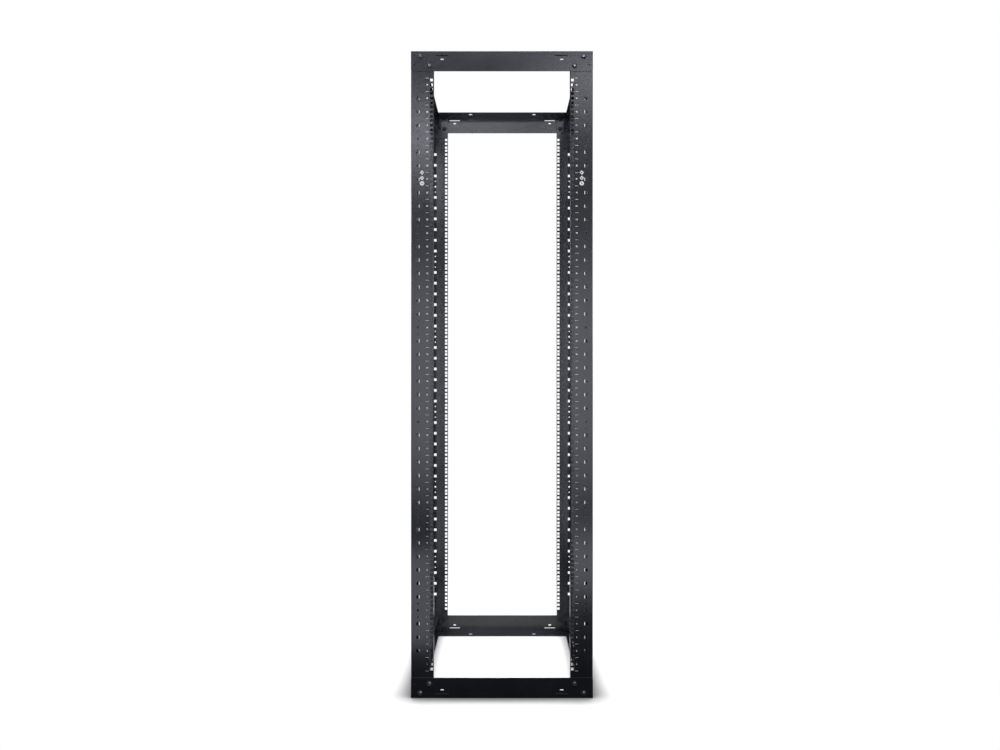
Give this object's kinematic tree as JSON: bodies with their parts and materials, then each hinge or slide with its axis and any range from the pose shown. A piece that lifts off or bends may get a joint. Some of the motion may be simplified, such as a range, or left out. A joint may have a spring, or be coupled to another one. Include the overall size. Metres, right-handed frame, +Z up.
{
  "type": "four post open frame rack",
  "caption": "Open frame equipment rack with four perforated channel posts, cross beams and side rails, for 19 inch equipment.",
  "frame": {"origin": "middle of the footprint, on the floor", "axes": "+X to the right seen from the front, +Y to the rear, +Z up"},
  "size_m": [0.6, 0.749, 2.134],
  "materials": {
    "powder_coat": "semi-gloss black powder coat"
  },
  "bodies": {
    "root": {"front_left_post": "powder_coat", "front_right_post": "powder_coat", "rear_left_post": "powder_coat", "rear_right_post": "powder_coat", "top_front_beam": "powder_coat", "top_rear_beam": "powder_coat", "bottom_front_beam": "powder_coat", "bottom_rear_beam": "powder_coat", "top_left_side_rail": "powder_coat", "top_right_side_rail": "powder_coat", "bottom_left_side_rail": "powder_coat", "bottom_right_side_rail": "powder_coat", "top_front_left_bracket": "powder_coat", "top_front_right_bracket": "powder_coat", "top_rear_left_bracket": "powder_coat", "top_rear_right_bracket": "powder_coat", "bottom_front_left_bracket": "powder_coat", "bottom_front_right_bracket": "powder_coat", "bottom_rear_left_bracket": "powder_coat", "bottom_rear_right_bracket": "powder_coat"}
  },
  "joints": []
}
